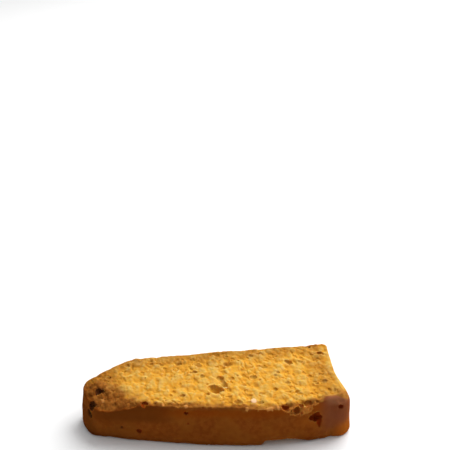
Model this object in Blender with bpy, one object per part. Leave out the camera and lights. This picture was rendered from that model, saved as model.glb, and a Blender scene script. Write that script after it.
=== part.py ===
"""Almond rusk: one slice of a baked loaf cake, cut about a finger thick and
toasted until it is dry. The slice lies on one cut face. Its long bowed side
and its two ends are the brown crust of the loaf, the upper and lower faces
are open crumb with the air bubbles that the knife cut through.

Axes: +X along the length, towards the square end. -Y the bowed crust side.
+Z up, out of the upper cut face. The slice rests on z = 0.
"""
import math
import random

import bpy
from mathutils import Vector, noise

for old in list(bpy.data.objects):
    bpy.data.objects.remove(old, do_unlink=True)

MM = 0.001

# Middle of the slice's length and width, in the axes that the sizes below use.
MIDDLE_X = 0.19
MIDDLE_Y = 0.28

# Outline of the loaf at the upper cut edge, in mm: x, y and corner radius.
SQUARE_END_FRONT = (48.0, -18.2, 4.5)
BOW_OF_FRONT = (20.5, -22.4, 60.0)
NOSE_FRONT = (-45.9, -8.0, 7.0)
NOSE_BACK = (-51.1, 7.5, 5.2)
BACK_SWEEP = (-30.3, 22.0, 14.0)
SQUARE_END_BACK = (49.2, 21.1, 1.4)
SQUARE_END_HOLLOW = (47.8, 0.5, 50.0)
OUTLINE_STEP = 3.0

# Wall of the loaf.
SIDE_BELLY = 0.45
END_BELLY_FRONT = 2.8
END_BELLY_BACK = 0.7
END_FOOT = 0.4
NOSE_BELLY = 0.8
NOSE_LEAN = 1.3
BOTTOM_EDGE_ROUND = 0.9
SIDE_FOOT = 0.9
NOSE_FOOT = 1.1
NOSE_CORNER_TUCK = 1.4
END_CORNER_TUCK = 1.4
FLAKE_SIDE_FOOT = 0.65
CRUST_WAVES = 0.22
WALL_HEIGHTS = (-2.0, 0.0, 0.7, 1.9, 4.5, 8.0, 11.5, 14.2, 16.2, 19.0)

# Upper cut face.
CUT_AT_FRONT = 16.3
CUT_AT_BACK = 16.5
RISE_AT_FRONT = 0.032
RISE_AT_BACK = 0.007
SHOULDER_DROP = 2.2
SHOULDER_WIDTH = 8.5
FRONT_SWELL = 0.8
ROLLED_EDGE_DROP = 1.8
ROLLED_EDGE_WIDTH = 3.0
CHIPPED_EDGE_DROP = 1.6
CRUMB_RELIEF = 0.55
CRUMB_GRAIN = 0.3
CUT_GRID = 1.7

# Lower cut face.
UNDERSIDE_RELIEF = 0.5
UNDERSIDE_GRID = 3.2
LOST_FLAKE_DEPTH = 2.65
LOST_FLAKE_REACH = 4.5
REST_SPOT_RADIUS = 7.0

SEED = 41


def smooth(low, high, value):
    """Ease from 0 at low to 1 at high."""
    t = min(1.0, max(0.0, (value - low) / (high - low)))
    return t * t * (3.0 - 2.0 * t)


def rounded_outline(corners, step):
    """Closed outline through filleted corners, evenly stepped, clockwise."""
    dense = []
    for i, (x, y, radius) in enumerate(corners):
        here = Vector((x, y))
        before = Vector(corners[i - 1][:2]) - here
        after = Vector(corners[(i + 1) % len(corners)][:2]) - here
        half = before.angle(after) / 2.0
        reach = min(radius / math.tan(half), 0.49 * before.length, 0.49 * after.length)
        radius = reach * math.tan(half)
        before.normalize()
        after.normalize()
        centre = here + (before + after).normalized() * (radius / math.sin(half))
        start = here + before * reach - centre
        sweep = start.angle_signed(here + after * reach - centre)
        for k in range(25):
            turn = -sweep * k / 24
            cos, sin = math.cos(turn), math.sin(turn)
            dense.append(
                centre + Vector((start.x * cos - start.y * sin, start.x * sin + start.y * cos))
            )
    lengths = [(dense[(i + 1) % len(dense)] - p).length for i, p in enumerate(dense)]
    count = round(sum(lengths) / step)
    pace = sum(lengths) / count
    points = []
    i = 0
    walked = 0.0
    for k in range(count):
        while walked + lengths[i] < k * pace:
            walked += lengths[i]
            i += 1
        along = (k * pace - walked) / lengths[i]
        points.append(dense[i].lerp(dense[(i + 1) % len(dense)], along))
    return points


def wall_offset(x, y, z):
    """How far the crust stands out from the upper edge of the slice, in mm."""
    belly = SIDE_BELLY * (1.0 - ((z - 8.0) / 8.5) ** 2)
    square_end = smooth(42.0, 47.5, x)
    nose = smooth(-40.0, -48.0, x)
    end_belly = END_BELLY_BACK + (END_BELLY_FRONT - END_BELLY_BACK) * smooth(2.0, -14.0, y)
    end_belly *= 1.0 - math.exp(-max(0.0, 17.6 - z) / 1.3) + END_FOOT * smooth(9.0, 1.0, z)
    lean = NOSE_BELLY - NOSE_LEAN * smooth(6.0, 15.0, z)
    offset = belly * (1.0 - square_end) * (1.0 - nose) + end_belly * square_end + lean * nose
    # The foot of the wall stands out along the bow and turns in at the corners.
    foot = SIDE_FOOT * smooth(-31.0, -14.0, x) * smooth(16.0, 4.0, x) * smooth(0.0, -8.0, y)
    foot -= NOSE_CORNER_TUCK * smooth(-32.0, -42.0, x) * smooth(-4.5, -8.0, y)
    foot += NOSE_FOOT * smooth(-45.0, -48.0, x) * smooth(-7.0, -3.0, y) * smooth(6.0, 1.0, y)
    at_front = smooth(-9.0, -15.0, y)
    foot += FLAKE_SIDE_FOOT * smooth(29.0, 34.0, x) * smooth(43.5, 40.0, x) * at_front
    foot -= END_CORNER_TUCK * smooth(43.0, 46.0, x) * smooth(48.5, 47.0, x) * at_front
    offset += foot * smooth(9.0, 1.5, z)
    offset -= BOTTOM_EDGE_ROUND * math.exp(-max(0.0, z) / 0.9)
    return offset + CRUST_WAVES * noise.noise(Vector((x / 9.0, y / 9.0, z / 6.0)))


def loaf_body(corners):
    """The crust of the loaf: the outline carried upward with a bellied wall."""
    line = rounded_outline(corners, OUTLINE_STEP)
    count = len(line)
    verts = []
    for z in WALL_HEIGHTS:
        for i, point in enumerate(line):
            along = (line[(i + 1) % count] - line[i - 1]).normalized()
            outward = Vector((-along.y, along.x))
            spot = point + outward * wall_offset(point.x, point.y, z)
            verts.append((spot.x * MM, spot.y * MM, z * MM))
    faces = [list(range(count))]
    for level in range(len(WALL_HEIGHTS) - 1):
        low = level * count
        for i in range(count):
            j = (i + 1) % count
            faces.append((low + i, low + count + i, low + count + j, low + j))
    top = (len(WALL_HEIGHTS) - 1) * count
    faces.append([top + i for i in reversed(range(count))])
    return verts, faces


def front_edge(x):
    """y of the bowed front edge at x."""
    if x > 20.0:
        return -22.0 + 0.0045 * (x - 20.0) ** 2
    return -22.0 + 0.0042 * (20.0 - x) + 0.0029 * (20.0 - x) ** 2


def cut_height(x, y):
    """Height of the upper cut face, in mm, before bubbles."""
    back = smooth(-22.0, 21.0, y)
    z = (CUT_AT_FRONT + RISE_AT_FRONT * x) * (1.0 - back)
    z += (CUT_AT_BACK + RISE_AT_BACK * x) * back
    z += FRONT_SWELL * smooth(-34.0, -26.0, x) * smooth(16.0, 4.0, x) * smooth(4.0, -12.0, y)
    # The worn shoulder at the nose, beyond the line from its back to its front.
    beyond = (x + 46.2) * -0.798 + (y - 12.0) * -0.604
    low = 1.0 - 0.55 * smooth(1.0, 8.0, y)
    z -= SHOULDER_DROP * low * smooth(0.5, 0.5 + SHOULDER_WIDTH, beyond)
    # The front edge crumbled away near the square end.
    along_chip = smooth(19.0, 23.0, x) * smooth(42.0, 37.0, x)
    ragged = 0.6 + 0.9 * noise.noise(Vector((x / 2.4, y / 2.4, 4.0)))
    z -= CHIPPED_EDGE_DROP * along_chip * ragged * smooth(3.6, 0.2, y - front_edge(x))
    # The crust rolls over the front edge next to the square end.
    rolled = min(1.0, max(0.0, 1.0 - (y - front_edge(x)) / ROLLED_EDGE_WIDTH))
    z -= ROLLED_EDGE_DROP * smooth(37.0, 41.0, x) * (1.0 - math.sqrt(1.0 - rolled * rolled))
    # A little wear along the whole front edge.
    z -= 0.5 * smooth(1.6, -0.4, y - front_edge(x))
    lumps = noise.noise(Vector((x / 2.1, y / 2.1, 0.0)))
    lumps += 0.7 * noise.noise(Vector((x / 5.0, y / 5.0, 9.0)))
    return z + CRUMB_RELIEF * lumps + CRUMB_GRAIN * noise.cell(Vector((x * 1.3, y * 1.3, 2.0)))


def underside_height(x, y):
    """Height of the lower cut face, in mm: level, with shallow torn places."""
    torn = noise.noise(Vector((x / 6.0, y / 6.0, 21.0)))
    torn += 0.5 * noise.noise(Vector((x / 2.6, y / 2.6, 27.0)))
    z = UNDERSIDE_RELIEF * max(0.0, torn - 0.12) / 0.5
    z *= smooth(REST_SPOT_RADIUS, REST_SPOT_RADIUS + 4.0, math.hypot(x, y))
    z *= smooth(0.0, 5.0, y - front_edge(x))
    flake = smooth(15.6, 17.0, x) * smooth(37.0, 25.0, x)
    z += LOST_FLAKE_DEPTH * flake * smooth(LOST_FLAKE_REACH, 1.2, y - front_edge(x))
    return z


def sheet_points(step, height, jitter, rng):
    """Grid of points wider than the slice, each nudged sideways a little."""
    columns = round(112.0 / step)
    rows = round(54.0 / step)
    grid = []
    for r in range(rows + 1):
        for c in range(columns + 1):
            x = -56.0 + 112.0 * c / columns
            y = -27.0 + 54.0 * r / rows
            if 0 < r < rows and 0 < c < columns:
                x += rng.uniform(-jitter, jitter) * step
                y += rng.uniform(-jitter, jitter) * step
            grid.append((x * MM, y * MM, height(x, y) * MM))
    return grid, rows, columns


def sheet_faces(rows, columns, first, upward):
    """Triangles of one such grid, their diagonals laid alternately."""
    faces = []
    for r in range(rows):
        for c in range(columns):
            a = first + r * (columns + 1) + c
            b = a + 1
            d = a + columns + 1
            e = d + 1
            pair = [(a, b, e), (a, e, d)] if (r + c) % 2 else [(a, b, d), (b, e, d)]
            faces += pair if upward else [tuple(reversed(face)) for face in pair]
    return faces


def cut_block(step, height, upward, far, rng):
    """Solid block with one crumb face: its other faces lie beyond the loaf."""
    verts, rows, columns = sheet_points(step, height, 0.22, rng)
    faces = sheet_faces(rows, columns, 0, upward)
    rim = [c for c in range(columns + 1)]
    rim += [(r + 1) * (columns + 1) + columns for r in range(rows)]
    rim += [rows * (columns + 1) + c for c in reversed(range(columns))]
    rim += [r * (columns + 1) for r in reversed(range(1, rows))]
    first = len(verts)
    verts += [(verts[i][0], verts[i][1], far * MM) for i in rim]
    count = len(rim)
    for k in range(count):
        n = (k + 1) % count
        side = (rim[k], first + k, first + n, rim[n])
        faces.append(side if upward else tuple(reversed(side)))
    cap = list(range(first, first + count))
    faces.append(tuple(reversed(cap)) if upward else tuple(cap))
    return verts, faces


def solid(name, verts, faces):
    """New object from points and faces."""
    mesh = bpy.data.meshes.new(name)
    verts = [(x - MIDDLE_X * MM, y - MIDDLE_Y * MM, z) for x, y, z in verts]
    mesh.from_pydata(verts, [], faces)
    mesh.validate()
    mesh.update()
    thing = bpy.data.objects.new(name, mesh)
    bpy.context.scene.collection.objects.link(thing)
    return thing


def as_cutter(thing):
    """Mark an object as a tool that shapes the slice and isn't part of it."""
    thing.hide_render = True
    thing.display_type = "WIRE"


def bubble(centre, size, turn, fine, rng):
    """Points and faces of one air bubble: a lumpy ellipsoid."""
    rings = 5 if fine else 4
    sides = 9 if fine else 6
    cos, sin = math.cos(turn), math.sin(turn)
    verts = []
    for r in range(1, rings):
        polar = math.pi * r / rings
        for s in range(sides):
            around = math.tau * (s + 0.5 * (r % 2)) / sides
            bump = rng.uniform(0.88, 1.1)
            lx = size[0] / 2 * math.sin(polar) * math.cos(around) * bump
            ly = size[1] / 2 * math.sin(polar) * math.sin(around) * bump
            lz = size[2] / 2 * math.cos(polar) * bump
            verts.append((lx * cos - ly * sin, lx * sin + ly * cos, lz))
    verts.append((0.0, 0.0, size[2] / 2))
    verts.append((0.0, 0.0, -size[2] / 2))
    north = len(verts) - 2
    south = len(verts) - 1
    faces = []
    for s in range(sides):
        t = (s + 1) % sides
        faces.append((north, s, t))
        low = (rings - 2) * sides
        faces.append((south, low + t, low + s))
        for r in range(rings - 2):
            up = r * sides
            down = up + sides
            faces.append((up + s, down + s, down + t))
            faces.append((up + s, down + t, up + t))
    verts = [tuple((v[k] + centre[k]) * MM for k in range(3)) for v in verts]
    return verts, faces


# The loaf, with its crust wall.
corners = [
    SQUARE_END_FRONT,
    BOW_OF_FRONT,
    NOSE_FRONT,
    NOSE_BACK,
    BACK_SWEEP,
    SQUARE_END_BACK,
    SQUARE_END_HOLLOW,
]
rusk = solid("rusk", *loaf_body(corners))

# The two knife cuts. Each block takes away everything on its side of the cut.
rng = random.Random(SEED)
above = solid("loaf_above_cut", *cut_block(CUT_GRID, cut_height, False, 24.0, rng))
below = solid("loaf_below_cut", *cut_block(UNDERSIDE_GRID, underside_height, True, -6.0, rng))

# Air bubbles that the upper cut opened: x, y, length, width, turn in degrees.
OPENED_ABOVE = [
    (0.3, -4.9, 5.6, 5.5, 0),
    (3.4, -1.8, 2.6, 6.0, 5),
    (3.2, 2.8, 3.0, 3.4, 0),
    (7.1, 1.6, 2.4, 2.2, 0),
    (-4.2, 14.0, 2.2, 4.2, 10),
    (-6.6, 8.4, 3.2, 2.0, 0),
    (7.3, 12.4, 3.8, 3.0, 15),
    (12.9, 7.2, 2.4, 2.0, 0),
    (15.9, 1.3, 2.8, 2.6, 30),
    (17.5, 16.7, 2.2, 1.9, 0),
    (31.7, 9.8, 4.6, 2.2, 125),
    (28.3, -4.8, 2.6, 2.0, 0),
    (42.5, -6.5, 2.8, 2.3, 0),
    (45.3, 14.3, 2.6, 2.0, 20),
    (36.7, -14.0, 2.8, 1.6, 0),
    (17.4, -10.6, 2.4, 1.8, 0),
    (7.8, -15.2, 3.4, 2.4, 0),
    (15.9, -16.6, 2.2, 2.0, 0),
    (-40.0, 9.7, 2.2, 1.8, 0),
    (-32.0, 17.1, 2.2, 2.0, 0),
]

# Bubbles that show in the crust or at a broken edge: x, y, z, diameter.
OPENED_IN_CRUST = [
    (29.6, -21.9, 14.6, 4.6),
    (32.8, -21.8, 15.6, 3.0),
    (26.6, -22.0, 16.2, 3.0),
    (36.4, -20.4, 10.8, 4.2),
    (37.8, -20.6, 8.3, 2.8),
    (45.9, -19.6, 14.2, 2.0),
    (-36.2, -10.9, 6.2, 1.6),
    (-29.8, -12.2, 5.0, 2.0),
    (-12.2, -15.7, 14.0, 1.5),
    (-11.6, -16.2, 9.3, 1.3),
    (-27.3, -11.6, 15.6, 2.6),
    (-43.9, 3.4, 15.0, 2.8),
    (-47.0, -4.0, 13.0, 2.8),
    (-48.6, -2.8, 9.0, 2.4),
    (23.4, -20.8, 16.8, 2.4),
    (34.0, -20.0, 16.9, 2.4),
]

verts = []
faces = []
rng = random.Random(SEED + 1)


def add_bubble(centre, size, turn, fine):
    more_verts, more_faces = bubble(centre, size, turn, fine, rng)
    start = len(verts)
    verts.extend(more_verts)
    faces.extend(tuple(start + i for i in face) for face in more_faces)


taken = []
for x, y, long, wide, turn in OPENED_ABOVE:
    depth = 0.65 * min(long, wide)
    z = cut_height(x, y) - 0.18 * depth
    add_bubble((x, y, z), (long, wide, 1.5 * depth), math.radians(turn), long > 2.5)
    taken.append((x, y, long))
for x, y, z, across in OPENED_IN_CRUST:
    add_bubble((x, y, z), (across, across, across), 0.0, across > 2.5)
    taken.append((x, y, across))

# Smaller bubbles all over the two cut faces, kept clear of one another.
scattered = 0
while scattered < 36:
    x = rng.uniform(-42.0, 47.0)
    y = rng.uniform(-19.0, 19.0)
    across = rng.uniform(1.3, 2.3)
    inside = y > front_edge(x) + 2.5 and y < 19.5 and y < 19.0 + (x + 27.0) * 0.75
    clear = all(math.hypot(x - a, y - b) > (across + c) / 2 + 0.9 for a, b, c in taken)
    if inside and clear:
        size = (across, across * rng.uniform(0.7, 1.2), across)
        centre = (x, y, cut_height(x, y) - 0.2 * across)
        add_bubble(centre, size, rng.uniform(0.0, math.pi), False)
        taken.append((x, y, across))
        scattered += 1
taken = [(0.0, 0.0, 2 * REST_SPOT_RADIUS)]
scattered = 0
while scattered < 13:
    x = rng.uniform(-42.0, 45.0)
    y = rng.uniform(-18.0, 18.0)
    across = rng.uniform(1.6, 3.0)
    inside = y > front_edge(x) + 3.5 and y < 18.5 and y < 17.5 + (x + 27.0) * 0.75
    clear = all(math.hypot(x - a, y - b) > (across + c) / 2 + 1.2 for a, b, c in taken)
    if inside and clear:
        size = (across, across * rng.uniform(0.7, 1.2), across)
        centre = (x, y, underside_height(x, y) + 0.15 * across)
        add_bubble(centre, size, rng.uniform(0.0, math.pi), False)
        taken.append((x, y, across))
        scattered += 1
bubbles = solid("air_bubbles", verts, faces)

for name, tool in (("upper cut", above), ("lower cut", below), ("air bubbles", bubbles)):
    as_cutter(tool)
    cut = rusk.modifiers.new(name, "BOOLEAN")
    cut.operation = "DIFFERENCE"
    cut.solver = "EXACT"
    cut.use_self = tool is bubbles
    cut.object = tool

crumb = bpy.data.materials.new("toasted crumb")
crumb.use_nodes = True
shader = crumb.node_tree.nodes["Principled BSDF"]
shader.inputs["Base Color"].default_value = (0.62, 0.30, 0.055, 1.0)
shader.inputs["Roughness"].default_value = 0.85
shader.inputs["Metallic"].default_value = 0.0
rusk.data.materials.append(crumb)
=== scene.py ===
import math
import random

import bmesh
import bpy
import numpy as np
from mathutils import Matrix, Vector, noise
from mathutils.bvhtree import BVHTree


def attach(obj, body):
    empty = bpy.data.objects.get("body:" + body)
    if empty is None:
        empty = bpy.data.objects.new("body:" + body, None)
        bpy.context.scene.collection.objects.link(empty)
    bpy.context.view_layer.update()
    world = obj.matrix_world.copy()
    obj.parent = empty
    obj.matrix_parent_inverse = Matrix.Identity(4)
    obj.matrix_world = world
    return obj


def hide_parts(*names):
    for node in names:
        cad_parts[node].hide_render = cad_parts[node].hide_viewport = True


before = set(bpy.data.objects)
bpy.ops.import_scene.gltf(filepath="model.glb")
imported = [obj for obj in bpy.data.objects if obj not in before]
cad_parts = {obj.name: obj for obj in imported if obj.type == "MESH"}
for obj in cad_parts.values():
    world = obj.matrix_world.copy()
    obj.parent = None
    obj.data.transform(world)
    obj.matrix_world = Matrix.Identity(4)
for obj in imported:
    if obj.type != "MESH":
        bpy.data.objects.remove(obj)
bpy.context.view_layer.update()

# The loaf. A long cake of almond batter, baked in a tin: its sides are a
# thin brown crust that bellies out a little and turns in at the bottom edge.
# Sizes are in mm, at the height of the upper knife cut: x, y, corner radius.
MM = 0.001
MIDDLE_X = 0.19
MIDDLE_Y = 0.28
CORNERS = [
    (48.0, -18.2, 4.5),
    (20.5, -22.4, 60.0),
    (-45.9, -8.0, 7.0),
    (-51.1, 7.5, 5.2),
    (-30.3, 22.0, 14.0),
    (49.2, 21.1, 1.4),
    (47.8, 0.5, 50.0),
]
OUTLINE_STEP = 0.9
WALL_STEP = 0.75
# The upper cut: its height in front and behind, and how it rises towards +x.
CUT_AT_FRONT = 16.3
CUT_AT_BACK = 16.5
RISE_AT_FRONT = 0.032
RISE_AT_BACK = 0.007
FRONT_SWELL = 0.8
SHOULDER_DROP = 2.2
CHIPPED_EDGE_DROP = 1.6
ROLLED_EDGE_DROP = 1.8
ROLLED_EDGE_WIDTH = 3.0
# The crust: how far it bellies out, leans, spreads at its foot and turns in.
SIDE_BELLY = 0.45
END_BELLY = 0.7
END_BELLY_MORE_IN_FRONT = 2.1
NOSE_LEAN = 0.55
NOSE_LEAN_BACK = 0.75
SIDE_FOOT = 0.9
NOSE_FOOT = 1.1
FLAKE_SIDE_FOOT = 0.65
CORNER_TUCK = 1.4
BOTTOM_EDGE_ROUND = 0.9
TOP_EDGE_ROUND = 0.3
DENT_DEPTH = 0.22


def smooth(low, high, value):
    """Ease from 0 at low to 1 at high."""
    t = np.clip((value - low) / (high - low), 0.0, 1.0)
    return t * t * (3.0 - 2.0 * t)


def rounded_outline(corners, step):
    """Closed outline through filleted corners, evenly stepped, clockwise."""
    dense = []
    for i, (x, y, radius) in enumerate(corners):
        here = Vector((x, y))
        before = Vector(corners[i - 1][:2]) - here
        after = Vector(corners[(i + 1) % len(corners)][:2]) - here
        half = before.angle(after) / 2.0
        reach = min(radius / math.tan(half), 0.49 * before.length, 0.49 * after.length)
        radius = reach * math.tan(half)
        before.normalize()
        after.normalize()
        centre = here + (before + after).normalized() * (radius / math.sin(half))
        start = here + before * reach - centre
        sweep = start.angle_signed(here + after * reach - centre)
        for k in range(25):
            turn = -sweep * k / 24
            cos, sin = math.cos(turn), math.sin(turn)
            spoke = Vector((start.x * cos - start.y * sin, start.x * sin + start.y * cos))
            dense.append(centre + spoke)
    lengths = [(dense[(i + 1) % len(dense)] - p).length for i, p in enumerate(dense)]
    count = round(sum(lengths) / step)
    pace = sum(lengths) / count
    points = []
    i = 0
    walked = 0.0
    for k in range(count):
        while walked + lengths[i] < k * pace:
            walked += lengths[i]
            i += 1
        along = (k * pace - walked) / lengths[i]
        points.append(dense[i].lerp(dense[(i + 1) % len(dense)], along))
    return points


def front_edge_right(x):
    """y of the bowed front edge, from its foremost point to the square end."""
    return -22.0 + 0.0045 * (x - 20.0) ** 2


def front_edge(x):
    """y of the bowed front edge at x."""
    if x > 20.0:
        return front_edge_right(x)
    return -22.0 + 0.0042 * (20.0 - x) + 0.0029 * (20.0 - x) ** 2


def past_shoulder(x, y):
    """How far a spot lies beyond the line where the nose is worn down."""
    return (x + 46.2) * -0.798 + (y - 12.0) * -0.604


def cut_height(x, y):
    """Height of the upper cut face before its bubbles and crumb."""
    back = smooth(-22.0, 21.0, y)
    z = (CUT_AT_FRONT + RISE_AT_FRONT * x) * (1.0 - back) + (CUT_AT_BACK + RISE_AT_BACK * x) * back
    z += FRONT_SWELL * smooth(-34.0, -26.0, x) * smooth(16.0, 4.0, x) * smooth(4.0, -12.0, y)
    low = 1.0 - 0.55 * smooth(1.0, 8.0, y)
    z -= SHOULDER_DROP * low * smooth(0.5, 9.0, past_shoulder(x, y))
    along_chip = smooth(19.0, 23.0, x) * smooth(42.0, 37.0, x)
    ragged = 0.6 + 0.9 * noise.noise(Vector((x / 2.4, y / 2.4, 4.0)))
    z -= CHIPPED_EDGE_DROP * along_chip * ragged * smooth(3.6, 0.2, y - front_edge(x))
    z -= 0.4 * smooth(1.6, -0.4, y - front_edge(x))
    rolled = min(1.0, max(0.0, 1.0 - (y - front_edge(x)) / ROLLED_EDGE_WIDTH))
    z -= ROLLED_EDGE_DROP * smooth(37.0, 41.0, x) * (1.0 - math.sqrt(1.0 - rolled * rolled))
    z += 0.3 * noise.noise(Vector((x / 2.1, y / 2.1, 0.0)))
    return z + 0.38 * noise.noise(Vector((x / 5.0, y / 5.0, 9.0)))


def wall_offset(x, y, z):
    """How far the crust stands out from the outline at height z."""
    belly = SIDE_BELLY * (1.0 - ((min(z, 20.0) - 8.0) / 8.5) ** 2) if z > 0.0 else 0.05
    square_end = smooth(42.0, 47.5, x)
    nose = smooth(-40.0, -48.0, x)
    end_belly = END_BELLY + END_BELLY_MORE_IN_FRONT * smooth(2.0, -14.0, y)
    end_belly *= 1.0 - math.exp(-max(0.0, 17.6 - z) / 1.3) + 0.4 * smooth(9.0, 1.0, z)
    lean = NOSE_LEAN - NOSE_LEAN_BACK * smooth(6.0, 15.0, z)
    offset = belly * (1.0 - square_end) * (1.0 - nose) + end_belly * square_end + lean * nose
    foot = SIDE_FOOT * smooth(-31.0, -14.0, x) * smooth(16.0, 4.0, x) * smooth(0.0, -8.0, y)
    foot -= CORNER_TUCK * smooth(-32.0, -42.0, x) * smooth(-4.5, -8.0, y)
    foot += NOSE_FOOT * smooth(-45.0, -48.0, x) * smooth(-7.0, -3.0, y) * smooth(6.0, 1.0, y)
    in_front = smooth(-9.0, -15.0, y)
    foot += FLAKE_SIDE_FOOT * smooth(29.0, 34.0, x) * smooth(43.5, 40.0, x) * in_front
    foot -= CORNER_TUCK * smooth(43.0, 46.0, x) * smooth(48.5, 47.0, x) * in_front
    offset += foot * smooth(9.0, 1.5, z)
    offset -= BOTTOM_EDGE_ROUND * math.exp(-max(0.0, z) / 0.9)
    offset -= TOP_EDGE_ROUND * smooth(6.0, -2.0, y) * math.exp(-abs(cut_height(x, y) - z) / 0.8)
    dents = DENT_DEPTH * noise.noise(Vector((x / 9.0, y / 9.0, z / 6.0)))
    return offset + dents + 0.06 * noise.noise(Vector((x / 2.5, y / 2.5, z / 1.5)))


def solid(name, verts, faces):
    """New object from points in mm."""
    mesh = bpy.data.meshes.new(name)
    mesh.from_pydata(
        [((x - MIDDLE_X) * MM, (y - MIDDLE_Y) * MM, z * MM) for x, y, z in verts], [], faces
    )
    mesh.update()
    thing = bpy.data.objects.new(name, mesh)
    bpy.context.scene.collection.objects.link(thing)
    return thing


line = rounded_outline(CORNERS, OUTLINE_STEP)
count = len(line)
heights = [-8.0] + [WALL_STEP * k for k in range(-1, 29)] + [28.0]
verts = []
for z in heights:
    for i, point in enumerate(line):
        along = (line[(i + 1) % count] - line[i - 1]).normalized()
        outward = Vector((-along.y, along.x))
        spot = point + outward * wall_offset(point.x, point.y, z)
        verts.append((spot.x, spot.y, z))
faces = [list(range(count))]
for level in range(len(heights) - 1):
    low = level * count
    for i in range(count):
        j = (i + 1) % count
        faces.append((low + i, low + count + i, low + count + j, low + j))
faces.append([(len(heights) - 1) * count + i for i in reversed(range(count))])
loaf = solid("loaf", verts, faces)

# The knife cuts. The slice comes off a finger thick, a little thinner at the
# nose, where the crumb is worn down to a shoulder. Its front edge has crumbled
# beside the square end, and a flake is gone from under the same edge.
LOST_FLAKE_DEPTH = 2.65
TORN_FROM = 0.12


def underside_height(x, y):
    """Height of the lower cut face: level, with shallow torn places."""
    torn = noise.noise(Vector((x / 6.0, y / 6.0, 21.0)))
    torn += 0.5 * noise.noise(Vector((x / 2.6, y / 2.6, 27.0)))
    z = max(0.0, torn - TORN_FROM) * smooth(7.0, 11.0, math.hypot(x, y))
    z *= smooth(0.0, 5.0, y - front_edge(x))
    flake = smooth(15.6, 17.0, x) * smooth(37.0, 25.0, x)
    return z + LOST_FLAKE_DEPTH * flake * smooth(4.5, 1.2, y - front_edge(x))


def cut_block(name, height, far):
    """Block of what the knife takes away, its crumb face given by height."""
    columns, rows = 140, 68
    verts = []
    for r in range(rows + 1):
        for c in range(columns + 1):
            x = -56.0 + 112.0 * c / columns
            y = -27.0 + 54.0 * r / rows
            verts.append((x, y, height(x, y)))
    faces = []
    for r in range(rows):
        for c in range(columns):
            a = r * (columns + 1) + c
            faces.append((a, a + 1, a + columns + 2, a + columns + 1))
    rim = [c for c in range(columns + 1)]
    rim += [(r + 1) * (columns + 1) + columns for r in range(rows)]
    rim += [rows * (columns + 1) + c for c in reversed(range(columns))]
    rim += [r * (columns + 1) for r in reversed(range(1, rows))]
    first = len(verts)
    verts += [(verts[i][0], verts[i][1], far) for i in rim]
    for k in range(len(rim)):
        n = (k + 1) % len(rim)
        faces.append((rim[k], first + k, first + n, rim[n]))
    faces.append(list(reversed(range(first, first + len(rim)))))
    if far > 0.0:
        faces = [list(reversed(face)) for face in faces]
    return solid(name, verts, faces)


above = cut_block("above_cut", cut_height, 32.0)
below = cut_block("below_cut", underside_height, -12.0)


def take_away(body, tool):
    """Cut the tool's shape out of the body."""
    cut = body.modifiers.new("cut", "BOOLEAN")
    cut.operation = "DIFFERENCE"
    cut.solver = "MANIFOLD"
    cut.object = tool


def finished(thing, name):
    """Plain mesh object of what the modifiers make of the thing."""
    graph = bpy.context.evaluated_depsgraph_get()
    mesh = bpy.data.meshes.new_from_object(thing.evaluated_get(graph))
    made = bpy.data.objects.new(name, mesh)
    bpy.context.scene.collection.objects.link(made)
    return made


take_away(loaf, above)
take_away(loaf, below)
blank = finished(loaf, "blank")
loaf.modifiers.clear()

# The air bubbles of the batter, opened by the knife. The large ones are where
# the slice has them, a boot-shaped pair among them, and smaller ones are
# strewn over both cut faces. A few have burst through the crust.
# x, y, length, width and turn in degrees, all in mm.
OPENED_ABOVE = [
    (0.3, -4.9, 5.9, 5.6, 0),
    (3.8, -1.3, 2.4, 6.2, 10),
    (3.3, 2.7, 3.0, 3.0, 0),
    (7.1, 1.6, 2.4, 2.2, 0),
    (-4.3, 13.8, 2.8, 4.8, 10),
    (-6.6, 8.4, 3.2, 2.0, 0),
    (7.3, 12.4, 3.8, 3.0, 15),
    (12.9, 7.2, 2.4, 2.0, 0),
    (15.9, 1.3, 2.8, 2.6, 30),
    (17.5, 16.7, 2.2, 1.9, 0),
    (31.7, 9.8, 4.6, 2.2, 125),
    (28.3, -4.8, 2.6, 2.0, 0),
    (42.5, -6.5, 2.8, 2.3, 0),
    (45.3, 14.3, 2.6, 2.0, 20),
    (36.7, -14.0, 2.8, 1.6, 0),
    (17.4, -10.6, 2.4, 1.8, 0),
    (7.8, -15.3, 3.8, 2.6, 0),
    (15.9, -16.4, 2.9, 2.2, 0),
    (-40.0, 9.7, 2.2, 1.8, 0),
    (-32.0, 17.1, 2.2, 2.0, 0),
    (11.2, -3.5, 2.6, 1.3, 0),
    (4.4, -11.3, 2.8, 1.5, 0),
    (-12.7, -7.5, 2.6, 1.6, 0),
    (-3.7, 5.0, 2.4, 2.0, 0),
    (20.9, 8.4, 5.2, 2.1, -10),
    (36.3, 9.2, 2.2, 1.8, 0),
    (39.5, 7.6, 1.6, 1.4, 0),
    (37.8, -2.0, 2.6, 1.8, 0),
    (42.2, -0.9, 2.2, 1.8, 0),
    (39.2, -7.3, 2.0, 1.6, 0),
    (27.4, -10.9, 2.8, 1.5, 0),
    (30.9, -12.0, 2.2, 1.4, 0),
    (45.0, -13.4, 1.3, 3.0, -15),
    (24.6, 1.0, 2.0, 1.8, 0),
    (-22.8, 17.0, 1.8, 1.6, 0),
    (-19.3, 16.2, 3.2, 1.2, -30),
    (-13.6, 11.0, 2.2, 1.8, 0),
]
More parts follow.
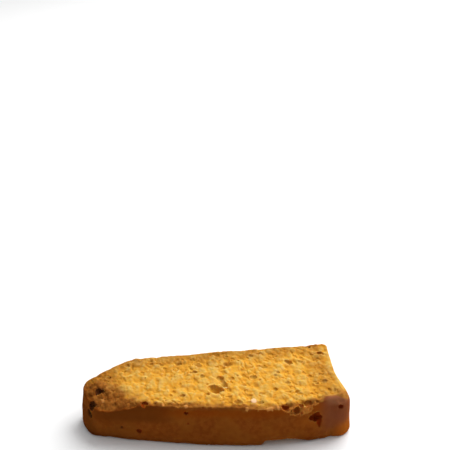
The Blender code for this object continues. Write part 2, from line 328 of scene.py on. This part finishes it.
# In the crust: x, y, z, width, height and how strongly painted shade darkens it inside.
BURST_IN_CRUST = [
    (36.4, -20.3, 10.8, 4.9, 3.7, 1.0),
    (37.8, -20.4, 8.3, 2.3, 4.6, 1.0),
    (45.9, -19.7, 14.2, 2.0, 1.9, 1.0),
    (-36.2, -10.8, 6.2, 1.9, 1.8, 1.0),
    (-29.8, -12.1, 5.0, 2.3, 2.5, 1.0),
    (-12.3, -15.5, 14.0, 1.7, 1.5, 1.0),
    (-11.6, -16.1, 9.3, 1.4, 1.3, 1.0),
    (-27.3, -10.5, 16.2, 2.7, 2.2, 0.9),
    (-43.9, 2.4, 14.8, 2.9, 2.6, 1.0),
    (-47.3, -3.6, 12.7, 4.3, 4.2, 0.9),
    (-48.3, -3.2, 8.8, 4.8, 2.8, 1.0),
    (24.3, -20.3, 16.3, 2.3, 2.2, 0.9),
    (29.0, -20.8, 15.0, 2.3, 2.6, 0.65),
    (30.8, -20.4, 16.6, 2.0, 2.0, 0.6),
    (33.6, -19.8, 16.8, 3.4, 2.0, 0.55),
    (36.9, -19.4, 17.0, 1.6, 1.3, 0.3),
    (30.7, -21.0, 13.3, 1.0, 1.8, 0.6),
]
# Where flakes of crust have come away and the crumb below them shows.
SCARS = [
    ((25.6, -22.5, 16.1), (4.2, 3.8, 3.2)),
    ((28.2, -22.4, 15.0), (4.6, 4.2, 4.4)),
    ((31.3, -22.1, 14.8), (4.2, 4.0, 4.2)),
    ((33.5, -21.6, 15.3), (4.4, 4.0, 4.4)),
    ((36.3, -21.0, 16.8), (3.6, 3.4, 2.6)),
]


def bubble(centre, size, turn, rough, rng):
    """Points and faces of one air bubble: a lumpy ellipsoid."""
    rings = 8 + 4 * (size[0] > 2.5)
    sides = 2 * rings
    cos, sin = math.cos(turn), math.sin(turn)
    shift = Vector((rng.uniform(-50, 50), rng.uniform(-50, 50), rng.uniform(-50, 50)))
    rays = [(0.0, 0.0, 1.0)]
    for r in range(1, rings):
        polar = math.pi * r / rings
        for s in range(sides):
            around = math.tau * s / sides
            rays.append(
                (
                    math.sin(polar) * math.cos(around),
                    math.sin(polar) * math.sin(around),
                    math.cos(polar),
                )
            )
    rays.append((0.0, 0.0, -1.0))
    verts = []
    for ray in rays:
        swell = 1.0 + 0.35 * noise.noise(Vector(ray) * 1.1 + shift)
        swell += rough * noise.noise(Vector(ray) * 2.6 + shift)
        x, y, z = (0.5 * ray[k] * size[k] * swell for k in range(3))
        verts.append((centre[0] + x * cos - y * sin, centre[1] + x * sin + y * cos, centre[2] + z))
    faces = []
    last = len(verts) - 1
    for s in range(sides):
        t = (s + 1) % sides
        faces.append((0, 1 + s, 1 + t))
        low = 1 + (rings - 2) * sides
        faces.append((last, low + t, low + s))
        for r in range(rings - 2):
            up = 1 + r * sides
            faces.append((up + s, up + sides + s, up + sides + t, up + t))
    return verts, faces


rng = random.Random(7)
bubbles = []
taken = []
for x, y, long, wide, turn in OPENED_ABOVE:
    depth = (0.62 if max(long, wide) > 3.0 else 0.45) * min(long, wide)
    centre = (x, y, cut_height(x, y) - 0.12 * depth)
    bubbles.append((centre, (long, wide, 1.5 * depth), math.radians(turn), 0.25))
    taken.append((x, y, long))
for x, y, z, wide, tall, dark in BURST_IN_CRUST:
    bubbles.append(((x, y, z), (wide, wide, tall), 0.0, 0.12))
    taken.append((x, y, wide))
bubbles += [(*scar, 0.0, 0.4) for scar in SCARS]
for face, wanted, sizes in ((cut_height, 34, (1.0, 2.2)), (underside_height, 80, (1.0, 2.6))):
    scattered = 0
    while scattered < wanted:
        x = rng.uniform(-45.0, 48.0)
        y = rng.uniform(-20.0, 20.0)
        across = sizes[0] + (sizes[1] - sizes[0]) * rng.random() ** 2
        inside = y > front_edge(x) + 1.5 and y < 20.0 and y < 20.0 + (x + 27.0) * 0.75
        clear = all(math.hypot(x - a, y - b) > (across + c) / 2 + 0.4 for a, b, c in taken)
        if inside and clear:
            centre = (x, y, face(x, y) + 0.14 * across)
            size = (across, across * rng.uniform(0.6, 1.2), across)
            bubbles.append((centre, size, rng.uniform(0.0, math.pi), 0.4))
            taken.append((x, y, across))
            scattered += 1
    taken = []

# Bubbles that run into each other are cut out one after the other.
rounds = []
for centre, size, turn, rough in bubbles:
    more_verts, more_faces = bubble(centre, size, turn, rough, rng)
    reach = 0.7 * max(size)
    for verts, faces, cut in rounds:
        if all(math.dist(centre, other) > reach + far for other, far in cut):
            break
    else:
        verts, faces, cut = [], [], []
        rounds.append((verts, faces, cut))
    faces += [tuple(len(verts) + i for i in face) for face in more_faces]
    verts += more_verts
    cut.append((centre, reach))
holes = [solid("holes", verts, faces) for verts, faces, cut in rounds]
opened = finished(blank, "opened")
for tool in holes:
    take_away(opened, tool)

# The crumb. Toasted batter breaks into soft round grains with crevices and
# pinholes between them, on the cut faces and inside the bubbles. The crust
# only has low swells and a few pores. The relief is real geometry, laid on an
# even fine mesh of the slice by how far each spot lies behind the crust.
CRUMB_VOXEL = 0.26
even = opened.modifiers.new("even mesh", "REMESH")
even.mode = "VOXEL"
even.voxel_size = CRUMB_VOXEL * MM
soften = opened.modifiers.new("soften", "SMOOTH")
soften.factor = 0.5
soften.iterations = 2


def add(tree, kind, settings=None, **feeds):
    """New node in the tree. A feed is a value or another node's output."""
    made = tree.nodes.new(kind)
    for name, value in (settings or {}).items():
        setattr(made, name, value)
    for name, value in feeds.items():
        socket = made.inputs[name.replace("_", " ")]
        if isinstance(value, bpy.types.NodeSocket):
            tree.links.new(value, socket)
        else:
            socket.default_value = value
    return made


def calc(tree, operation, *terms):
    """Math node of the given terms; returns its output."""
    made = tree.nodes.new("ShaderNodeMath")
    made.operation = operation
    for socket, term in zip(made.inputs, terms):
        if isinstance(term, bpy.types.NodeSocket):
            tree.links.new(term, socket)
        else:
            socket.default_value = term
    return made.outputs[0]


def ease(tree, value, low, high, to_low=0.0, to_high=1.0):
    """Smooth step of value from low to high, onto to_low to to_high."""
    made = tree.nodes.new("ShaderNodeMapRange")
    made.interpolation_type = "SMOOTHSTEP"
    tree.links.new(value, made.inputs["Value"])
    for name, number in zip(("From Min", "From Max", "To Min", "To Max"), (low, high, to_low, to_high)):
        made.inputs[name].default_value = number
    return made.outputs["Result"]


baked = bpy.data.materials.new("toasted almond cake")
relief = bpy.data.node_groups.new("crumb relief", "GeometryNodeTree")
relief.interface.new_socket("Geometry", in_out="INPUT", socket_type="NodeSocketGeometry")
for name, kind, value in (
    ("Loaf", "NodeSocketObject", loaf),
    ("Slice", "NodeSocketObject", blank),
    ("Rolled edge from", "NodeSocketFloat", 38.5 - MIDDLE_X),
    ("Rolled edge width", "NodeSocketFloat", 2.8),
    ("Clump size", "NodeSocketFloat", 3.2),
    ("Clump height", "NodeSocketFloat", 0.62),
    ("Grain size", "NodeSocketFloat", 1.45),
    ("Grain height", "NodeSocketFloat", 0.66),
    ("Grain unevenness", "NodeSocketFloat", 0.12),
    ("Lost grain depth", "NodeSocketFloat", 0.42),
    ("Small grain height", "NodeSocketFloat", 0.05),
    ("Crust swell", "NodeSocketFloat", 0.1),
    ("Seed", "NodeSocketFloat", 3.0),
    ("Material", "NodeSocketMaterial", baked),
):
    socket = relief.interface.new_socket(name, in_out="INPUT", socket_type=kind)
    if kind not in ("NodeSocketObject", "NodeSocketMaterial"):
        socket.default_value = value
relief.interface.new_socket("Geometry", in_out="OUTPUT", socket_type="NodeSocketGeometry")
given = relief.nodes.new("NodeGroupInput").outputs


def vector_calc(tree, operation, first, second):
    """Vector math node of two vectors, or of a vector and its scale."""
    made = tree.nodes.new("ShaderNodeVectorMath")
    made.operation = operation
    second_socket = made.inputs["Scale"] if operation == "SCALE" else made.inputs[1]
    for socket, term in ((made.inputs[0], first), (second_socket, second)):
        if isinstance(term, bpy.types.NodeSocket):
            tree.links.new(term, socket)
        else:
            socket.default_value = term
    return made.outputs["Value"] if operation == "DISTANCE" else made.outputs[0]


place = add(relief, "GeometryNodeInputPosition").outputs[0]
place_mm = vector_calc(relief, "SCALE", place, 1000.0)
shift = add(relief, "ShaderNodeCombineXYZ", X=given["Seed"], Y=given["Seed"]).outputs[0]
spot = vector_calc(relief, "ADD", place_mm, vector_calc(relief, "SCALE", shift, 17.3))
wander = add(relief, "ShaderNodeTexNoise", Vector=spot, Scale=0.35, Detail=2.0).outputs["Color"]
bent = vector_calc(relief, "ADD", spot, vector_calc(relief, "SCALE", wander, 1.4))
bent = vector_calc(relief, "MULTIPLY", bent, (1.0, 0.6, 1.0))


def distance_from(thing):
    """How far each point lies from the surface of the thing, in mm."""
    surface = add(relief, "GeometryNodeObjectInfo", Object=thing).outputs["Geometry"]
    near = add(relief, "GeometryNodeProximity", {"target_element": "FACES"})
    relief.links.new(surface, near.inputs[0])
    return calc(relief, "MULTIPLY", near.outputs["Distance"], 1000.0)


behind = distance_from(given["Loaf"])
down_a_hole = ease(relief, distance_from(given["Slice"]), 0.3, 1.0, 1.0, 0.4)
normal = add(relief, "GeometryNodeInputNormal").outputs[0]
level = calc(relief, "ABSOLUTE", add(relief, "ShaderNodeSeparateXYZ", Vector=normal).outputs["Z"])
crumb = calc(relief, "MAXIMUM", ease(relief, behind, 0.1, 0.6), ease(relief, level, 0.35, 0.8))
along, across, up = add(relief, "ShaderNodeSeparateXYZ", Vector=place_mm).outputs
past = ease(relief, calc(relief, "SUBTRACT", along, given["Rolled edge from"]), 0.0, 2.0)
facing = ease(relief, across, -15.5, -16.5)
rolled = calc(relief, "DIVIDE", behind, given["Rolled edge width"])
rolled = calc(relief, "MULTIPLY", ease(relief, rolled, 1.0, 0.8), facing)
rolled = calc(relief, "MULTIPLY", rolled, past)
crumb = calc(relief, "MULTIPLY", crumb, calc(relief, "SUBTRACT", 1.0, rolled))
finer = calc(relief, "MULTIPLY", ease(relief, behind, 0.0, 1.8, 0.3, 1.0), down_a_hole)
broken = calc(relief, "MULTIPLY", ease(relief, along, 21.0, 23.0), ease(relief, along, 39.0, 37.0))
broken = calc(relief, "MULTIPLY", broken, ease(relief, across, -17.0, -18.5))
broken = calc(relief, "MULTIPLY", broken, 0.7)
crumb = calc(relief, "MULTIPLY", crumb, calc(relief, "MAXIMUM", finer, broken))
crumb = calc(relief, "MULTIPLY", crumb, ease(relief, up, 7.0, 12.0, 0.3, 1.0))


def grains(scale, smoothness):
    """Height of rounded grains, and a chance number for each of them."""
    cells = add(
        relief,
        "ShaderNodeTexVoronoi",
        {"feature": "SMOOTH_F1"},
        Vector=bent,
        Scale=scale,
        Smoothness=smoothness,
    )
    dome = calc(relief, "POWER", cells.outputs["Distance"], 2.0)
    chance = add(relief, "FunctionNodeSeparateColor", Color=cells.outputs["Color"]).outputs
    return calc(relief, "SUBTRACT", 0.25, dome), chance


grain_scale = calc(relief, "DIVIDE", 1.0, given["Grain size"])
patchy = add(relief, "ShaderNodeTexNoise", Vector=spot, Scale=0.16, Detail=1.0).outputs["Fac"]
patchy = ease(relief, patchy, 0.35, 0.55, 0.45, 1.0)
clump = grains(calc(relief, "DIVIDE", 1.0, given["Clump size"]), 0.4)[0]
grain, chance = grains(grain_scale, 0.4)
small = grains(calc(relief, "MULTIPLY", grain_scale, 2.4), 0.3)[0]
uneven = calc(relief, "SUBTRACT", chance[0], 0.5)
lost = ease(relief, chance[1], 0.08, 0.22, 1.0, 0.0)
fine = add(relief, "ShaderNodeTexNoise", Vector=spot, Scale=1.3, Detail=1.0).outputs["Fac"]

height = calc(relief, "MULTIPLY", grain, given["Grain height"])
height = calc(relief, "MULTIPLY_ADD", uneven, given["Grain unevenness"], height)
height = calc(relief, "MULTIPLY", height, patchy)
height = calc(relief, "MULTIPLY_ADD", clump, given["Clump height"], height)
height = calc(relief, "MULTIPLY_ADD", small, given["Small grain height"], height)
lost = calc(relief, "MULTIPLY", lost, given["Lost grain depth"])
height = calc(relief, "SUBTRACT", height, lost)
height = calc(relief, "MULTIPLY_ADD", fine, 0.14, height)
height = calc(relief, "MULTIPLY", calc(relief, "SUBTRACT", height, 0.25), crumb)
swell = add(relief, "ShaderNodeTexNoise", Vector=spot, Scale=0.5, Detail=3.0).outputs["Fac"]
swell = calc(relief, "MULTIPLY", calc(relief, "SUBTRACT", swell, 0.5), given["Crust swell"])
total = calc(relief, "MULTIPLY", calc(relief, "ADD", height, swell), MM)
keep = add(
    relief,
    "GeometryNodeStoreNamedAttribute",
    {"data_type": "FLOAT", "domain": "POINT"},
    Geometry=given["Geometry"],
    Name="lump",
    Value=height,
)
pushed = vector_calc(relief, "ADD", place, vector_calc(relief, "SCALE", normal, total))
parts = add(relief, "ShaderNodeSeparateXYZ", Vector=pushed).outputs
resting = add(
    relief,
    "ShaderNodeCombineXYZ",
    X=parts["X"],
    Y=parts["Y"],
    Z=calc(relief, "MAXIMUM", parts["Z"], 0.0),
).outputs[0]
moved = add(relief, "GeometryNodeSetPosition", Geometry=keep.outputs[0], Position=resting)
whole = add(relief, "GeometryNodeRealizeInstances", Geometry=moved.outputs[0])
dressed = add(
    relief, "GeometryNodeSetMaterial", Geometry=whole.outputs[0], Material=given["Material"]
)
relief.links.new(dressed.outputs[0], relief.nodes.new("NodeGroupOutput").inputs[0])

crumbled = opened.modifiers.new("crumb relief", "NODES")
crumbled.node_group = relief
pieces = {"Loaf": loaf, "Slice": blank, "Material": baked}
for item in relief.interface.items_tree:
    if item.item_type == "SOCKET" and item.in_out == "INPUT":
        if item.name in pieces:
            crumbled[item.identifier] = pieces[item.name]
thin = opened.modifiers.new("fewer faces", "DECIMATE")
thin.ratio = 0.4
rusk = finished(opened, "toasted_slice")

# Thinning can leave a folded scrap of a few faces beside the flat underside.
# Only the largest joined part is kept, so the slice is one closed body.
rusk.data.validate()
mended = bmesh.new()
mended.from_mesh(rusk.data)
unseen = set(mended.verts)
joined_parts = []
while unseen:
    part = [unseen.pop()]
    for vertex in part:
        for edge in vertex.link_edges:
            other = edge.other_vert(vertex)
            if other in unseen:
                unseen.remove(other)
                part.append(other)
    joined_parts.append(part)
joined_parts.sort(key=len)
scraps = [vertex for part in joined_parts[:-1] for vertex in part]
bmesh.ops.delete(mended, geom=scraps, context="VERTS")
mended.to_mesh(rusk.data)
mended.free()

# What each spot gets in the finish, kept as attributes: how deep it lies in a hole, how near it is to
# the crust, how brown it has baked, and where painted shade and painted highlights go.
points = np.empty(len(rusk.data.vertices) * 3)
rusk.data.vertices.foreach_get("co", points)
points = points.reshape(-1, 3)
loaf_side = BVHTree.FromObject(loaf, bpy.context.evaluated_depsgraph_get())
skin = BVHTree.FromObject(blank, bpy.context.evaluated_depsgraph_get())
rim = np.array([loaf_side.find_nearest(p)[3] for p in points]) / MM
deep = np.array([skin.find_nearest(p)[3] for p in points]) / MM
x = points[:, 0] / MM + MIDDLE_X
y = points[:, 1] / MM + MIDDLE_Y
z = points[:, 2] / MM
normals = np.empty(len(points) * 3)
rusk.data.vertices.foreach_get("normal", normals)
normals = normals.reshape(-1, 3)
level = np.abs(normals[:, 2])
# Steep sides of the grains, which get painted shade in the finish.
steep = smooth(0.9, 0.45, level)
in_mm = points / MM + np.array([MIDDLE_X, MIDDLE_Y, 0.0])
wobble = np.array([noise.noise(Vector(spot) / 3.5) for spot in in_mm])

# The crumb is toasted most at the worn nose and beside the crust.
scorched = smooth(-20.0, -32.0, x) * smooth(8.0, 2.0, y)
toast = smooth(-8.0, 3.0, past_shoulder(x, y) + 4.0 * wobble) * smooth(13.0, 6.0, y)
for browned in (
    0.7 * smooth(-28.0, -42.0, x),
    0.65 * smooth(7.0, 1.0, rim + wobble) * smooth(-14.0, -28.0, x),
    0.47 * smooth(7.0, 19.0, y + 3.0 * wobble),
    0.5 * smooth(33.0, 45.0, x),
    0.8 * smooth(5.2, 1.0, rim + wobble) * smooth(10.0, 0.0, y),
    0.7 * smooth(3.5, 1.0, rim) * smooth(30.0, 44.0, x),
    smooth(6.5, 2.0, rim) * scorched,
):
    toast = np.maximum(toast, browned)
# Painted highlight: the upper rim of the square end is made lighter, as if lit from the right, and its
# crumb is toasted less there.
painted_rim_light = smooth(45.0, 47.0, x) * smooth(-15.0, -10.0, y) * smooth(12.0, 15.0, z)
toast *= 1.0 - 0.6 * painted_rim_light


def nearness(middle, size):
    """0 at the middle of an ellipsoid of that size, 1 on its surface."""
    return np.linalg.norm((in_mm - np.array(middle)) / (np.array(size) / 2.0), axis=1)


# Painted shade inside the bubbles that burst through the crust and the pits of the chipped edge; and
# where flakes came away, the crumb below them.
painted_hole_shade = np.zeros(len(points))
for x_at, y_at, z_at, wide, tall, dark in BURST_IN_CRUST:
    inside = smooth(1.65, 1.35, nearness((x_at, y_at, z_at), (wide, wide, tall)))
    painted_hole_shade = np.maximum(painted_hole_shade, dark * inside * smooth(0.05, 0.5, deep))
bare = np.max([smooth(1.5, 1.0, nearness(*scar)) for scar in SCARS], axis=0)
bare *= 0.5 + 0.5 * smooth(0.05, 0.3, deep)

# Where crust ends and crumb begins: the edge beside the square end is rolled over and has kept its
# crust, and the lip of the nose gets painted shade, so that it stays dark where it faces the light.
from_front = y - front_edge_right(x) + 1.8 * smooth(42.0, 48.0, x)
rolled = smooth(37.8, 40.3, x + 2.0 * wobble) * smooth(3.3, 2.0, from_front + wobble) * (z > 12.0)
open_crumb = 1.3 * smooth(0.3, 0.65, level) * (z > 6.0)
open_crumb *= 1.0 - 0.85 * scorched * smooth(2.6, 0.8, rim)
# Painted shade on the upward-facing lip of the nose.
painted_lip_shade = smooth(-12.0, -26.0, x) * smooth(8.0, 2.0, y) * smooth(8.0, 11.0, z)
painted_lip_shade *= smooth(3.0, 0.3, rim + 1.2 * wobble)
rim = np.maximum(rim, open_crumb) * (1.0 - rolled)

# Tones of the crust: a painted highlight along the top of the rolled edge, red just below the upper
# cut, darker towards the nose where it is scorched and has painted shade, a painted contact shadow
# along the foot, and mauve and orange at the square end, the mauve partly a painted reflection and the
# orange partly a painted glow of light from the right.
under_edge = CUT_AT_FRONT + RISE_AT_FRONT * x - z + wobble
# Painted highlight: the top of the rolled edge is made lighter, as if it caught the light.
painted_highlight = smooth(38.5, 43.0, x + 2.0 * wobble) * smooth(-13.0, -16.0, y) * smooth(3.4, 1.0, under_edge)
red = smooth(0.0, 1.0, under_edge) * smooth(5.0, 2.0, under_edge)
# Darker towards the nose: scorched crust with painted shade on the nose's side.
dark = 0.25 * smooth(-25.0, -40.0, x) + 0.4 * smooth(-44.0, -49.0, x)
# Painted contact shadow: the crust is darker along its foot, except at the square end.
dark = np.minimum(1.0, dark + 0.3 * smooth(3.5, 0.5, z) * smooth(44.0, 38.0, x))
# Mauve at the front corner of the square end: the crust's tone with a painted reflection of pale light.
mauve_and_painted_reflection = smooth(36.0, 42.0, x) * smooth(1.0, 9.0, z + 3.0 * wobble) * smooth(2.0, -8.0, y)
# Orange at the foot of the square end: the crust's tone with a painted glow of light from the right; a
# fainter orange band halfway up the front between x 26 and 41 mm.
orange_and_painted_glow = smooth(42.0, 48.0, x) * smooth(10.0, 4.0, z + 3.0 * wobble)
orange_and_painted_glow = np.maximum(orange_and_painted_glow, 0.3 * smooth(26.0, 32.0, x) * smooth(41.0, 37.0, x) * smooth(5.0, 9.0, z))

# Flecks of blanched almond and of pale crumb that are baked into the surface:
# x, y, z, width and how pale. They stand a little proud of it, and the almond
# fills the hollow that it lies in.
ALMOND = (13.4, -15.2, 17.0, 2.5, 1.0)
ALMOND_PROUD = 0.3
FLECK_PROUD = 0.15
FLECKS = [
    ALMOND,
    (10.1, -19.9, 16.8, 1.3, 0.5),
    (-12.1, -14.7, 16.6, 1.5, 0.5),
    (-42.6, -2.6, 13.8, 1.4, 0.4),
    (-20.5, -12.6, 16.4, 1.2, 0.4),
    (18.0, -20.7, 16.8, 1.6, 0.5),
    (19.3, -20.8, 16.8, 1.4, 0.45),
    (21.8, -20.6, 16.7, 1.4, 0.45),
]
fleck = np.zeros(len(points))
near = smooth(1.2, 0.6, nearness(ALMOND[:3], (2.5, 3.5, 4.0)))
points[:, 2] += near * ((cut_height(*ALMOND[:2]) + ALMOND_PROUD) * MM - points[:, 2])
for x_at, y_at, z_at, wide, pale in FLECKS:
    near = smooth(1.15, 0.75, nearness((x_at, y_at, z_at), (wide, 1.4 * wide, 2.0 * wide)))
    fleck = np.maximum(fleck, pale * near)
    points += normals * (FLECK_PROUD * MM * near)[:, None]
points[:, 2] = np.maximum(points[:, 2], 0.0)
rusk.data.vertices.foreach_set("co", points.reshape(-1))
for name, values in (
    ("rim", rim),
    ("deep", deep),
    ("toast", toast),
    ("steep", steep),
    ("painted_hole_shade", painted_hole_shade),
    ("red", red),
    ("dark", dark),
    ("mauve_and_painted_reflection", mauve_and_painted_reflection),
    ("orange_and_painted_glow", orange_and_painted_glow),
    ("painted_highlight", painted_highlight),
    ("painted_rim_light", painted_rim_light),
    ("painted_lip_shade", painted_lip_shade),
    ("fleck", fleck),
    ("bare", bare),
):
    layer = rusk.data.attributes.new(name, "FLOAT", "POINT")
    layer.data.foreach_set("value", values.astype(np.float32))
for thing in (loaf, above, below, blank, *holes, opened):
    bpy.data.objects.remove(thing, do_unlink=True)

# The finish: golden crumb with painted shade, a deeper orange, in the crevices between its grains, on
# their steep sides and in its holes, browner towards the crust, and a dry dark crust, redder just under
# the upper cut.
GOLDEN_CRUMB = (0.505, 0.293, 0.057, 1)
PALE_CRUMB = (0.55, 0.342, 0.087, 1)
# Colours of the painted shade in crevices, on steep grain sides and in holes.
CREVICE_SHADE = (0.57, 0.258, 0.026, 1)
STEEP_SIDE_SHADE = (0.53, 0.24, 0.03, 1)
DEEP_HOLE_SHADE = (0.54, 0.24, 0.02, 1)
BROWN_CRUMB = (0.155, 0.044, 0.005, 1)
TOASTED_CRUMB = (0.31, 0.112, 0.018, 1)
TORN_CRUMB = (0.47, 0.175, 0.03, 1)
LIP_PAINTED_SHADE = (0.13, 0.032, 0.004, 1)
DARK_CRUST = (0.172, 0.039, 0.004, 1)
LIGHT_CRUST = (0.212, 0.054, 0.007, 1)
CLOUDED_CRUST = (0.24, 0.075, 0.009, 1)
SPECKED_CRUST = (0.24, 0.070, 0.009, 1)
RED_CRUST = (0.22, 0.040, 0.001, 1)
MAUVE_CRUST_AND_PAINTED_REFLECTION = (0.19, 0.055, 0.021, 1)
# Colour of the painted highlight on the rolled edge.
HIGHLIGHT_PAINT = (0.31, 0.125, 0.056, 1)
ORANGE_CRUST_AND_PAINTED_GLOW = (0.31, 0.075, 0.006, 1)
# Colour of the painted highlight on the upper rim of the square end.
RIM_LIGHT_PAINT = (0.52, 0.22, 0.03, 1)
SCORCHED_CRUST_AND_PAINTED_SHADE = (0.05, 0.009, 0.002, 1)
# Colours of the painted shade inside the burst bubbles.
RED_HOLE_SHADE = (0.18, 0.021, 0.002, 1)
DARK_HOLE_SHADE = (0.06, 0.016, 0.005, 1)
PALE_FLECK = (0.47, 0.205, 0.05, 1)
BLANCHED_ALMOND = (0.68, 0.45, 0.26, 1)
baked.use_nodes = True
tree = baked.node_tree
shader = tree.nodes["Principled BSDF"]
place = add(tree, "ShaderNodeTexCoord").outputs["Object"]
place = add(tree, "ShaderNodeMapping", Vector=place, Scale=(1000.0, 1000.0, 1000.0)).outputs[0]


def attribute(name):
    """The value kept on the mesh for the spot under that name, for its baking and for painted shade and
    highlights.
    """
    return add(tree, "ShaderNodeAttribute", {"attribute_name": name}).outputs["Fac"]


def blend(amount, first, second, mode="MIX"):
    """Colour between first and second."""
    made = tree.nodes.new("ShaderNodeMix")
    made.data_type = "RGBA"
    made.blend_type = mode
    for socket, term in zip((made.inputs[0], made.inputs[6], made.inputs[7]), (amount, first, second)):
        if isinstance(term, bpy.types.NodeSocket):
            tree.links.new(term, socket)
        else:
            socket.default_value = term
    return made.outputs[2]


cloud = add(tree, "ShaderNodeTexNoise", Vector=place, Scale=0.12, Detail=3.0).outputs["Fac"]
mottle = add(tree, "ShaderNodeTexNoise", Vector=place, Scale=0.55, Detail=4.0).outputs["Fac"]
speck = add(tree, "ShaderNodeTexNoise", Vector=place, Scale=2.4, Detail=3.0).outputs["Fac"]
golden = blend(ease(tree, mottle, 0.35, 0.65), GOLDEN_CRUMB, PALE_CRUMB)
# Painted shade: crevices, steep grain sides and holes get a deeper orange.
golden = blend(ease(tree, attribute("lump"), 0.1, -0.4), golden, CREVICE_SHADE)
golden = blend(calc(tree, "MULTIPLY", attribute("steep"), 0.3), golden, STEEP_SIDE_SHADE)
golden = blend(ease(tree, attribute("deep"), 0.3, 2.0), golden, DEEP_HOLE_SHADE)
brown = blend(ease(tree, mottle, 0.3, 0.7), BROWN_CRUMB, TOASTED_CRUMB)
burnt = calc(tree, "ADD", attribute("toast"), calc(tree, "MULTIPLY_ADD", cloud, 0.6, -0.3))
crumb_colour = blend(ease(tree, burnt, 0.0, 1.0), golden, brown)
crust = blend(ease(tree, mottle, 0.35, 0.65), DARK_CRUST, LIGHT_CRUST)
crust = blend(ease(tree, cloud, 0.4, 0.7, 0.1, 0.6), crust, CLOUDED_CRUST)
crust = blend(ease(tree, speck, 0.55, 0.75, 0.0, 0.4), crust, SPECKED_CRUST)
crust = blend(calc(tree, "MULTIPLY", attribute("red"), 0.6), crust, RED_CRUST)
# Mauve crust with a painted reflection.
crust = blend(calc(tree, "MULTIPLY", attribute("mauve_and_painted_reflection"), 0.8), crust, MAUVE_CRUST_AND_PAINTED_REFLECTION)
# Painted highlight on the rolled edge.
crust = blend(calc(tree, "MULTIPLY", attribute("painted_highlight"), 0.75), crust, HIGHLIGHT_PAINT)
# Orange crust with a painted glow at the square end.
crust = blend(calc(tree, "MULTIPLY", attribute("orange_and_painted_glow"), 0.8), crust, ORANGE_CRUST_AND_PAINTED_GLOW)
# Painted highlight on the upper rim of the square end.
crust = blend(calc(tree, "MULTIPLY", attribute("painted_rim_light"), 0.9), crust, RIM_LIGHT_PAINT)
# Scorched crust and painted shade at the nose, painted contact shadow at the foot.
crust = blend(attribute("dark"), crust, SCORCHED_CRUST_AND_PAINTED_SHADE)
inward = calc(tree, "ADD", attribute("rim"), calc(tree, "MULTIPLY_ADD", speck, 1.3, -0.65))
colour = blend(ease(tree, inward, 0.05, 1.0), crust, crumb_colour)
# Painted shade on the lip of the nose.
colour = blend(calc(tree, "MULTIPLY", attribute("painted_lip_shade"), 0.9), colour, LIP_PAINTED_SHADE)
torn = calc(tree, "MULTIPLY_ADD", calc(tree, "SUBTRACT", speck, 0.5), 1.4, attribute("bare"))
colour = blend(ease(tree, torn, 0.35, 0.75), colour, TORN_CRUMB)
colour = blend(ease(tree, attribute("fleck"), 0.1, 0.5), colour, PALE_FLECK)
colour = blend(ease(tree, attribute("fleck"), 0.6, 0.95), colour, BLANCHED_ALMOND)
# Painted shade inside the burst bubbles: red-brown, near black towards the scorched nose.
scorch_and_shade = calc(tree, "MULTIPLY", attribute("dark"), 4.0)
inside = blend(scorch_and_shade, RED_HOLE_SHADE, DARK_HOLE_SHADE)
colour = blend(attribute("painted_hole_shade"), colour, inside)
tree.links.new(colour, shader.inputs["Base Color"])
shader.inputs["Roughness"].default_value = 0.8
shader.inputs["Specular IOR Level"].default_value = 0.0
shader.inputs["Subsurface Weight"].default_value = 0.85
shader.inputs["Subsurface Radius"].default_value = (0.0012, 0.0008, 0.0004)
shader.inputs["Subsurface Scale"].default_value = 1.0
bump = add(
    tree, "ShaderNodeBump", Strength=0.1, Distance=0.0002, Height=calc(tree, "ADD", speck, mottle)
)
tree.links.new(bump.outputs[0], shader.inputs["Normal"])
rusk.data.polygons.foreach_set("use_smooth", [True] * len(rusk.data.polygons))
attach(rusk, "root")
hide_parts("rusk")

# The studio: a pale floor, soft light from above and behind, and the camera
# at the photograph's angle.
floor_mesh = bpy.data.meshes.new("floor")
floor_mesh.from_pydata([(-3, -3, 0), (3, -3, 0), (3, 3, 0), (-3, 3, 0)], [], [(0, 1, 2, 3)])
floor = bpy.data.objects.new("floor", floor_mesh)
bpy.context.scene.collection.objects.link(floor)
pale = bpy.data.materials.new("pale floor")
pale.use_nodes = True
pale.node_tree.nodes["Principled BSDF"].inputs["Base Color"].default_value = (0.85, 0.85, 0.85, 1)
pale.node_tree.nodes["Principled BSDF"].inputs["Roughness"].default_value = 0.9
floor_mesh.materials.append(pale)

world = bpy.data.worlds.new("studio")
bpy.context.scene.world = world
world.use_nodes = True
world.node_tree.nodes["Background"].inputs["Color"].default_value = (1.0, 1.0, 1.0, 1)
world.node_tree.nodes["Background"].inputs["Strength"].default_value = 0.54


def soft_light(name, place, aim, size, watts):
    """Square area light that looks at aim."""
    lamp = bpy.data.lights.new(name, "AREA")
    lamp.size = size
    lamp.energy = watts
    lit = bpy.data.objects.new(name, lamp)
    lit.location = place
    lit.rotation_euler = (Vector(aim) - Vector(place)).to_track_quat("-Z", "Y").to_euler()
    bpy.context.scene.collection.objects.link(lit)


soft_light("above_behind", (0.36, 0.34, 0.55), (0.0, 0.0, 0.0), 0.7, 8.2)

view = bpy.data.cameras.new("camera")
view.lens = 84.8
view.sensor_width = 36.0
view.clip_start = 0.01
camera = bpy.data.objects.new("camera", view)
camera.location = (-0.04493, -0.34336, 0.24491)
camera.rotation_euler = (math.radians(65.0), 0.0, math.radians(-8.2))
bpy.context.scene.collection.objects.link(camera)
bpy.context.scene.camera = camera
bpy.context.scene.view_settings.view_transform = "Standard"
